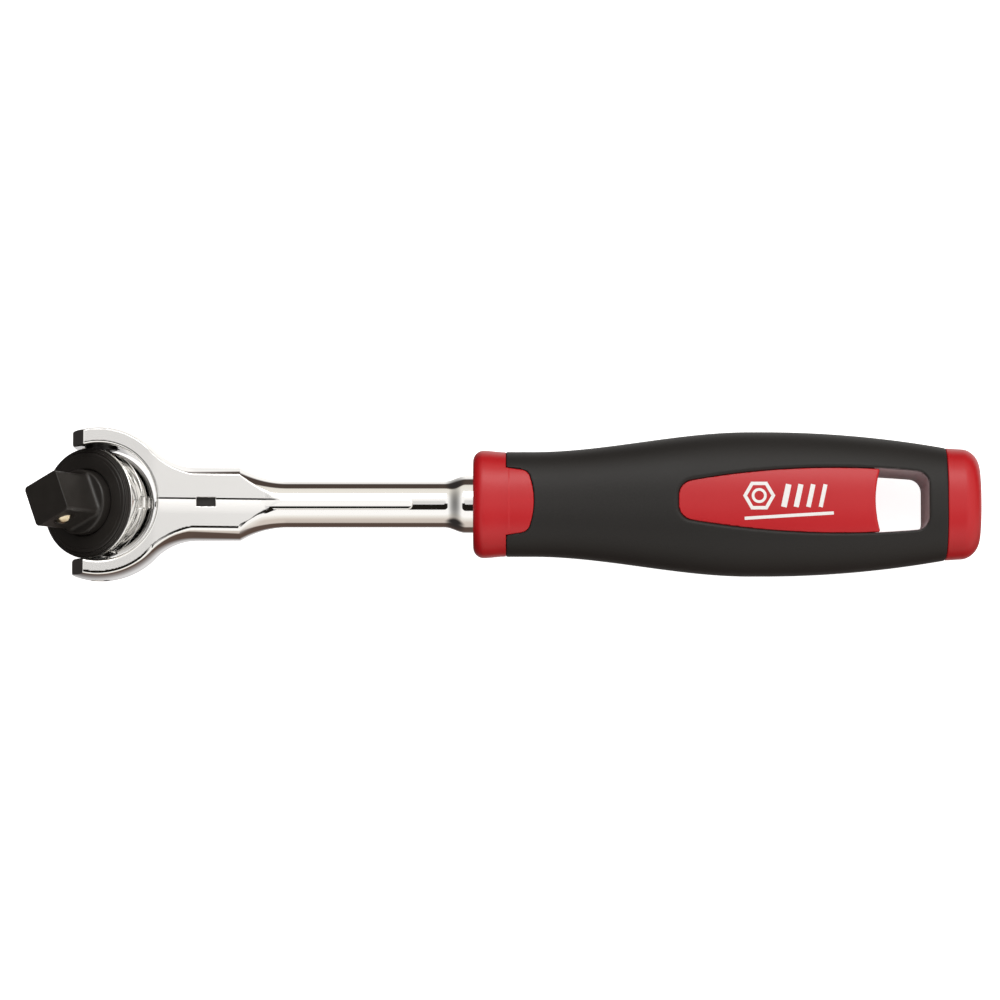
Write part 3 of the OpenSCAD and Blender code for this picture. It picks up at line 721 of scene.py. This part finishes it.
def anvil_field(x, y, z):
    r = np.hypot(x, y)
    ax, ay = np.abs(x), np.abs(y)
    square = cut(ax - HALF_SQ, ay - HALF_SQ, 0.05)
    square = cut(square, r - CORNER_R, 0.25)
    tang = cut(square, z - TIP, 0.16)
    tang = np.maximum(tang, -z)
    boss = cut(r - BOSS_R, z - SHOULDER, 0.55)
    boss = np.maximum(boss, 2 - z)
    body = join(boss, tang, 0.9)
    angle = np.arctan2(y, x) * TEETH / (2 * math.pi)
    saw = np.abs(angle - np.floor(angle) - 0.5) * 2
    gear = (r - (GEAR_R - 0.42 * (1 - np.clip(saw * 1.15, 0, 1)))) * 0.7
    gear = np.maximum(gear, np.maximum(z - 3, -1.65 - z))
    body = np.minimum(body, gear)
    hole = np.hypot(x, z - BALL_Z)
    seat = np.maximum(hole - 1.8, y)
    ring = np.hypot(np.hypot(x, z - BALL_Z) - 2.15, y + HALF_SQ) - 0.16
    body = less(body, seat, 0.15)
    inner = np.maximum(np.maximum(hole - 2.02, y - 2.6), -y - HALF_SQ + 0.2)
    return np.maximum(np.maximum(body, -ring), -inner)


def make_anvil():
    ax = both_ways((0, 9.0, 0.15))
    az = steps((-2.1, 7.2, 0.3), (7.2, 19.7, 0.14))
    p, q, n = net(anvil_field, (ax, ax, az), 0.02)
    o = make_object("black_square_drive", p, q, TO_TANG, n)
    finish_piece(o, OXIDE, "drive", "black_oxide", "drive_anvil")


def lever_field(x, y, z):
    r = np.hypot(x, y)
    selector = np.maximum(r - 6.6, np.maximum(z + 2.25, -4.4 - z))
    shaft = np.maximum(r - 2.95, np.maximum(z + 4.2, -8.5 - z))
    knob = cut(cut(r - 5.4, z + 8.3, 0.15), -10.4 - z, 0.6)
    a = math.pi - math.radians(22)
    u = x * math.cos(a) + y * math.sin(a)
    v = -x * math.sin(a) + y * math.cos(a)
    tab = cut(cut(np.hypot(np.maximum(u - 5.1, 0), v) - 1.8, z + 8.4, 0.25), -9.7 - z, 0.4)
    tab = np.maximum(tab, -u)
    body = np.minimum(np.minimum(selector, shaft), join(knob, tab, 0.6))
    for k in (-1, 0, 1):
        body = less(body, np.hypot(u - 5.2 - 0.9 * k, z + 10.05) - 0.45 + 100 * (np.abs(v) > 1.9), 0.08)
    dish = np.hypot(r, z + 10.4 + 14) - 14.35
    body = less(body, np.maximum(dish, r - 3.6), 0.2)
    groove = np.hypot(r - 2.95, z + 6.6) - 0.45
    body = np.maximum(body, -groove)
    track = np.maximum(np.maximum(np.abs(r - 4.2) - 0.9, -z - 8.95), z + 8.15)
    body = np.maximum(body, -track)
    b = math.radians(-22)
    d = np.hypot(-x * math.sin(b) + y * math.cos(b), z + 3.3)
    pocket = np.maximum(d - 0.85, 3 - (x * math.cos(b) + y * math.sin(b)))
    return np.maximum(body, -pocket)


def make_lever():
    ax = both_ways((0, 7.3, 0.16))
    az = steps((-10.7, -8.0, 0.12), (-8.0, -2.0, 0.25))
    p, q, n = net(lever_field, (ax, ax, az), 0.02)
    o = make_object("black_reverse_lever", p, q, TO_HEAD, n)
    finish_piece(o, OXIDE, "lever", "black_oxide", "reverse_lever")


# ---------------------------------------------------------------- printed mark on the red panel
def panel_height(x, y):
    w = grip_width(x) - RECESS
    t = grip_thickness(x) - RECESS
    return t * (1 - (np.abs(y) / w) ** OVAL) ** (1 / OVAL)


def stroke(points, width):
    """A band of constant width along points, as quads in the plane."""
    p = np.array(points, float)
    d = np.gradient(p, axis=0)
    d /= np.linalg.norm(d, axis=1, keepdims=True)
    side = np.column_stack([-d[:, 1], d[:, 0]]) * width / 2
    both = np.concatenate([p + side, p - side])
    n = len(p)
    k = np.arange(n - 1)
    return both, np.stack([k + n, k + n + 1, k + 1, k], 1)


def make_mark():
    """A generic sign: a hex nut, four slanted strokes beside it and a bar under it."""
    shapes = []
    cx, cy, across = 145.6, 0.9, 3.1
    corner = [(cx + across * math.cos(math.radians(a)), cy + across * math.sin(math.radians(a)))
              for a in range(0, 420, 60)]
    for a, b in zip(corner, corner[1:]):
        line = [(a[0] + (b[0] - a[0]) * t, a[1] + (b[1] - a[1]) * t)
                for t in np.linspace(-0.08, 1.08, 9)]
        shapes.append(stroke(line, 0.75))
    ring = [(cx + 1.35 * math.cos(t), cy + 1.35 * math.sin(t)) for t in np.linspace(0, 2 * math.pi, 49)]
    shapes.append(stroke(ring, 0.6))
    for k in range(4):
        x0 = 151.0 + 2.7 * k
        line = [(x0 + 1.1 * t, cy - 2.5 + 5.0 * t) for t in np.linspace(0, 1, 11)]
        shapes.append(stroke(line, 1.25 - 0.12 * k))
    line = [(142.4 + 19.6 * t, -4.1 + 1.2 * t) for t in np.linspace(0, 1, 41)]
    shapes.append(stroke(line, 0.7))
    points, faces, base = [], [], 0
    for p, f in shapes:
        z = panel_height(p[:, 0], p[:, 1])
        top = np.column_stack([p, z + 0.045])
        low = np.column_stack([p, z - 0.03])
        n = len(p)
        half = n // 2
        points += [top, low]
        faces += [f + base, f[:, ::-1] + base + n]
        k = np.arange(half - 1)
        faces.append(np.stack([k, k + 1, k + 1 + n, k + n], 1) + base)
        faces.append(np.stack([k + half, k + half + n, k + half + 1 + n, k + half + 1], 1) + base)
        ends = np.array([[0, n, half + n, half], [half - 1, n - 1, 2 * n - 1, half - 1 + n]])
        faces.append(ends + base)
        base += 2 * n
    o = make_object("printed_mark", np.concatenate(points), np.concatenate(faces), TO_FRAME)
    shade(o, 40)
    finish_piece(o, PRINT, "frame", "red_plastic")


# ---------------------------------------------------------------- stage, light and camera
def make_floor():
    size = 3.0
    mesh = bpy.data.meshes.new("floor")
    corners = [(-size, -size, 0), (size, -size, 0), (size, size, 0), (-size, size, 0)]
    mesh.from_pydata(corners, [], [(0, 1, 2, 3)])
    o = bpy.data.objects.new("floor", mesh)
    bpy.context.scene.collection.objects.link(o)
    n = Nodes("pale_floor")
    grain = n.noise(8, 2)
    n.link(n.mix(grain, (0.93, 0.93, 0.93), (0.95, 0.95, 0.95)), n.bsdf.inputs["Base Color"])
    n.link(n.band(grain, 0.85, 0.95), n.bsdf.inputs["Roughness"])
    n.set(Specular_IOR_Level=0.1, Emission_Color=(1, 1, 1, 1), Emission_Strength=0.85)
    dress(o, n.mat)
    o.visible_glossy = False
    o.visible_diffuse = False


def softbox(name, place, size, power, glossy):
    """A rectangular area light that faces the tool."""
    light = bpy.data.lights.new(name, "AREA")
    light.shape = "RECTANGLE"
    light.size, light.size_y = size
    light.energy = power
    o = bpy.data.objects.new(name, light)
    o.location = place
    o.rotation_euler = (Vector() - Vector(place)).to_track_quat("-Z", "Y").to_euler()
    o.visible_glossy = glossy
    bpy.context.scene.collection.objects.link(o)


def srgb(r, g, b, gain=1.0):
    out = []
    for v in (r, g, b):
        v /= 255
        out.append(gain * (v / 12.92 if v <= 0.04045 else ((v + 0.055) / 1.055) ** 2.4))
    return (*out, 1)


def make_world():
    """The studio as seen from the tool: pale above, dark toward -X, a dark stand at the camera."""
    world = bpy.data.worlds.new("studio")
    bpy.context.scene.world = world
    world.use_nodes = True
    tree = world.node_tree
    tree.nodes.clear()
    link = tree.links.new
    out = tree.nodes.new("ShaderNodeOutputWorld")
    back = tree.nodes.new("ShaderNodeBackground")
    link(back.outputs[0], out.inputs[0])
    coord = tree.nodes.new("ShaderNodeTexCoord")
    split = tree.nodes.new("ShaderNodeSeparateXYZ")
    link(coord.outputs["Generated"], split.inputs[0])

    def calc(operation, *values):
        n = tree.nodes.new("ShaderNodeMath")
        n.operation = operation
        for socket, value in zip(n.inputs, values):
            if hasattr(value, "links"):
                link(value, socket)
            else:
                socket.default_value = value
        return n.outputs[0]

    def ramp(stops, value):
        n = tree.nodes.new("ShaderNodeValToRGB")
        e = n.color_ramp.elements
        while len(e) > 1:
            e.remove(e[-1])
        e[0].position = stops[0][0] / 180
        e[0].color = stops[0][1]
        for angle, colour in stops[1:]:
            e.new(angle / 180).color = colour
        link(value, n.inputs[0])
        return n.outputs[0]

    def blend(fac, a, b):
        n = tree.nodes.new("ShaderNodeMix")
        n.data_type = "RGBA"
        link(fac, n.inputs[0])
        for socket, value in ((n.inputs[6], a), (n.inputs[7], b)):
            if hasattr(value, "links"):
                link(value, socket)
            else:
                socket.default_value = value
        return n.outputs[2]

    def between(value, low, high):
        n = tree.nodes.new("ShaderNodeMapRange")
        n.interpolation_type = "SMOOTHSTEP"
        n.inputs["From Min"].default_value = low
        n.inputs["From Max"].default_value = high
        link(value, n.inputs["Value"])
        return n.outputs[0]

    # angle from straight up as 0 to 1, how far round towards +Y, and the angle out of the YZ plane
    down = calc("DIVIDE", calc("ARCCOSINE", split.outputs["Z"]), math.pi)
    flat = calc("SQRT", calc("SUBTRACT", 1.0, calc("POWER", split.outputs["Z"], 2.0)))
    round_to_y = calc("DIVIDE", split.outputs["Y"], calc("ADD", flat, 0.001))
    aside = calc("MULTIPLY", calc("ARCSINE", split.outputs["X"]), 180 / math.pi)

    brown = srgb(92, 76, 68)
    dark = srgb(77, 66, 60)
    black = (0.012, 0.010, 0.008, 1)
    grey = srgb(224, 222, 220)
    cream = srgb(213, 202, 192)
    warm = srgb(244, 240, 232)
    white = srgb(255, 253, 250, 1.06)
    pale = srgb(222, 220, 220)
    to_y = [(0, grey), (9, grey), (18, white), (38, white), (55, warm), (79, srgb(236, 230, 220)),
            (84, dark), (115, dark), (120, srgb(204, 200, 198)), (127, white), (180, white)]
    low = [(66, warm), (84, cream), (106, cream), (113, brown), (149, brown),
           (158, srgb(150, 144, 142)), (170, pale), (180, pale)]
    plain = [(0, grey), (7, grey), (16, white), (56, white)] + low
    stand = [(0, grey), (4.6, grey), (5.6, black), (30, black), (32, white), (56, white)] + low
    end_on = [(0, grey), (20, white), (95, warm), (108, srgb(222, 216, 211)), (118, srgb(185, 178, 174)),
              (128, srgb(150, 143, 140)), (140, srgb(112, 105, 104)), (155, srgb(140, 134, 132)), (168, pale)]
    near_camera = between(calc("ABSOLUTE", aside), 27, 20)
    from_y = blend(near_camera, ramp(plain, down), ramp(stand, down))
    from_y = blend(between(aside, 24, 44), from_y, ramp(end_on, down))
    colour = blend(between(round_to_y, -0.12, 0.12), from_y, ramp(to_y, down))
    below = between(split.outputs["Z"], 0.3, -0.1)
    shade_from = calc("SUBTRACT", aside, calc("MULTIPLY", below, 24.0))
    colour = blend(between(shade_from, -20, -52), colour, (0.03, 0.027, 0.026, 1))
    link(colour, back.inputs["Color"])
    back.inputs["Strength"].default_value = 1.0


def make_camera():
    data = bpy.data.cameras.new("camera")
    data.lens = 175
    data.sensor_width = 36
    data.clip_end = 20
    o = bpy.data.objects.new("camera", data)
    tip = math.radians(5)
    away = 1.080
    aim = Vector((-0.0012, 0.0010, PIVOT.z))
    o.location = aim + away * Vector((0, -math.sin(tip), math.cos(tip)))
    o.rotation_euler = (tip, 0, 0)
    bpy.context.scene.collection.objects.link(o)
    bpy.context.scene.camera = o


make_camera()
make_world()
make_floor()
softbox("key", (0.1, 0.75, 1.0), (0.9, 0.5), 5, glossy=True)
softbox("fill", (0.0, 0.0, 1.9), (2.2, 2.2), 6, glossy=False)
bpy.context.scene.view_settings.view_transform = "Standard"
bpy.context.scene.cycles.glossy_bounces = 6

# The swivel washers take the dark oxide finish as painted shade, so the gap between the arms and the housing
# stays dark
plain_nodes = {
    "pivot_pins": STEEL, "swivel_washers": OXIDE, "detent_plunger": STEEL, "detent_spring": SPRING,
    "detent_key": OXIDE, "boss_seal": SEAL, "thrust_washer": STEEL, "pawl_pin": STEEL, "lever_ball": STEEL,
    "lever_spring": SPRING, "drive_ball": BRONZE, "drive_ball_spring": SPRING, "lever_oring": SEAL,
    "pawl_plunger": STEEL, "pawl_spring": SPRING, "pawl": STEEL}
for name, material in plain_nodes.items():
    dress(nodes[name], material)

make_yoke()
make_handle()
head_objects()
make_anvil()
make_lever()
make_mark()
